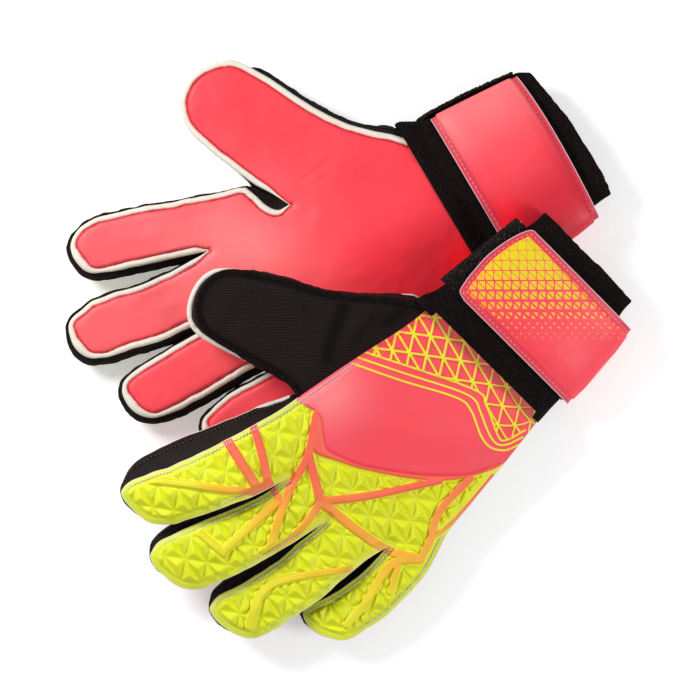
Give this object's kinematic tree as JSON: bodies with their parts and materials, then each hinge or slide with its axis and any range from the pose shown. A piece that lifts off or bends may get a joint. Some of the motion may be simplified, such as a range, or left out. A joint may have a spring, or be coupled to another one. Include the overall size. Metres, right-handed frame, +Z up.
{
  "type": "goalkeeper gloves",
  "caption": "Pair of padded goalkeeper gloves lying stacked, right palm up and left back up, with jointed finger ends, thumbs and wrist straps that open.",
  "frame": {"origin": "centre of the bounding box at its base, on the table", "axes": "+X roughly from the fingertips to the cuffs, +Y towards the thumbs, +Z up from the table"},
  "size_m": [0.3076, 0.278, 0.0532],
  "materials": {
    "red_latex": "matte foam",
    "white_foam": "matte foam",
    "yellow_panel": "satin moulded foam",
    "grey_lining": "jersey",
    "black_knit": "ribbed knit",
    "black_gusset": "woven",
    "black_elastic": "elastic",
    "red_strap": "matte",
    "black_loop": "loop pile",
    "black_hook": "hook tape"
  },
  "bodies": {
    "left_hand": {"left_palm_latex": "red_latex", "left_palm_backing": "white_foam", "left_back_panel": "yellow_panel", "left_back_lining": "grey_lining", "left_thumb_saddle": "black_knit", "left_gussets": "black_gusset", "left_cuff": "black_elastic", "left_wrist_band": "black_elastic", "left_wrist_strap": "red_strap", "left_loop_panel": "black_loop"},
    "left_tab": {"left_strap_tab": "red_strap", "left_hook_patch": "black_hook"},
    "left_little_end": {"left_little_latex": "red_latex", "left_little_backing": "white_foam", "left_little_back": "yellow_panel", "left_little_gusset": "black_gusset"},
    "left_ring_end": {"left_ring_latex": "red_latex", "left_ring_backing": "white_foam", "left_ring_back": "yellow_panel", "left_ring_gusset": "black_gusset"},
    "left_middle_end": {"left_middle_latex": "red_latex", "left_middle_backing": "white_foam", "left_middle_back": "yellow_panel", "left_middle_gusset": "black_gusset"},
    "left_index_end": {"left_index_latex": "red_latex", "left_index_backing": "white_foam", "left_index_back": "yellow_panel", "left_index_gusset": "black_gusset"},
    "left_thumb_end": {"left_thumb_latex": "red_latex", "left_thumb_backing": "white_foam", "left_thumb_back": "black_knit", "left_thumb_gusset": "black_gusset"},
    "right_hand": {"right_palm_latex": "red_latex", "right_palm_backing": "white_foam", "right_back_panel": "yellow_panel", "right_back_lining": "grey_lining", "right_thumb_saddle": "black_knit", "right_gussets": "black_gusset", "right_cuff": "black_elastic", "right_wrist_band": "black_elastic", "right_wrist_strap": "red_strap", "right_loop_panel": "black_loop"},
    "right_tab": {"right_strap_tab": "red_strap", "right_hook_patch": "black_hook"},
    "right_ring_end": {"right_ring_latex": "red_latex", "right_ring_backing": "white_foam", "right_ring_back": "yellow_panel", "right_ring_gusset": "black_gusset"},
    "right_middle_end": {"right_middle_latex": "red_latex", "right_middle_backing": "white_foam", "right_middle_back": "yellow_panel", "right_middle_gusset": "black_gusset"},
    "right_index_end": {"right_index_latex": "red_latex", "right_index_backing": "white_foam", "right_index_back": "yellow_panel", "right_index_gusset": "black_gusset"},
    "right_thumb_end": {"right_thumb_latex": "red_latex", "right_thumb_backing": "white_foam", "right_thumb_back": "black_knit", "right_thumb_gusset": "black_gusset"}
  },
  "joints": [
    {"name": "left_glove_lift", "type": "slide", "parent": "right_hand", "child": "left_hand", "axis": [0, 0, 1], "range_m": [0, 0.15]},
    {"name": "left_little_bend", "type": "hinge", "parent": "left_hand", "child": "left_little_end", "pos_m": [-0.07881, -0.12522, 0.00228], "axis": [0.0262, -0.9997, 0], "range_deg": [0, 70], "stiffness_Nm_per_rad": 0.12},
    {"name": "left_ring_bend", "type": "hinge", "parent": "left_hand", "child": "left_ring_end", "pos_m": [-0.10427, -0.09644, 0.00984], "axis": [-0.061, -0.9981, 0], "range_deg": [0, 70], "stiffness_Nm_per_rad": 0.12},
    {"name": "left_middle_bend", "type": "hinge", "parent": "left_hand", "child": "left_middle_end", "pos_m": [-0.11399, -0.06229, 0.0178], "axis": [-0.1822, -0.9833, 0], "range_deg": [0, 70], "stiffness_Nm_per_rad": 0.12},
    {"name": "left_index_bend", "type": "hinge", "parent": "left_hand", "child": "left_index_end", "pos_m": [-0.10019, -0.02757, 0.02747], "axis": [-0.2588, -0.9659, 0], "range_deg": [0, 70], "stiffness_Nm_per_rad": 0.12},
    {"name": "left_thumb_close", "type": "hinge", "parent": "left_hand", "child": "left_thumb_end", "pos_m": [-0.04611, -0.01765, 0.04135], "axis": [0, 0, 1], "range_deg": [0, 20], "stiffness_Nm_per_rad": 0.12},
    {"name": "left_strap_open", "type": "hinge", "parent": "left_hand", "child": "left_tab", "pos_m": [0.0871, -0.11037, 0.01131], "axis": [0.9914, 0.1305, 0], "range_deg": [0, 150]},
    {"name": "right_ring_bend", "type": "hinge", "parent": "right_hand", "child": "right_ring_end", "pos_m": [-0.07316, 0.01209, 0.01982], "axis": [0.2588, 0.9659, 0], "range_deg": [0, 70], "stiffness_Nm_per_rad": 0.12},
    {"name": "right_middle_bend", "type": "hinge", "parent": "right_hand", "child": "right_middle_end", "pos_m": [-0.07405, 0.04762, 0.01982], "axis": [0.3746, 0.9272, 0], "range_deg": [0, 70], "stiffness_Nm_per_rad": 0.12},
    {"name": "right_index_bend", "type": "hinge", "parent": "right_hand", "child": "right_index_end", "pos_m": [-0.05192, 0.0777, 0.01982], "axis": [0.4462, 0.8949, 0], "range_deg": [0, 70], "stiffness_Nm_per_rad": 0.12},
    {"name": "right_thumb_close", "type": "hinge", "parent": "right_hand", "child": "right_thumb_end", "pos_m": [0.00418, 0.07568, 0.01056], "axis": [0, 0, 1], "range_deg": [0, 20], "stiffness_Nm_per_rad": 0.12},
    {"name": "right_strap_open", "type": "hinge", "parent": "right_hand", "child": "right_tab", "pos_m": [0.10885, -0.04836, 0.013], "axis": [-0.9914, 0.1305, 0], "range_deg": [0, 110]}
  ]
}
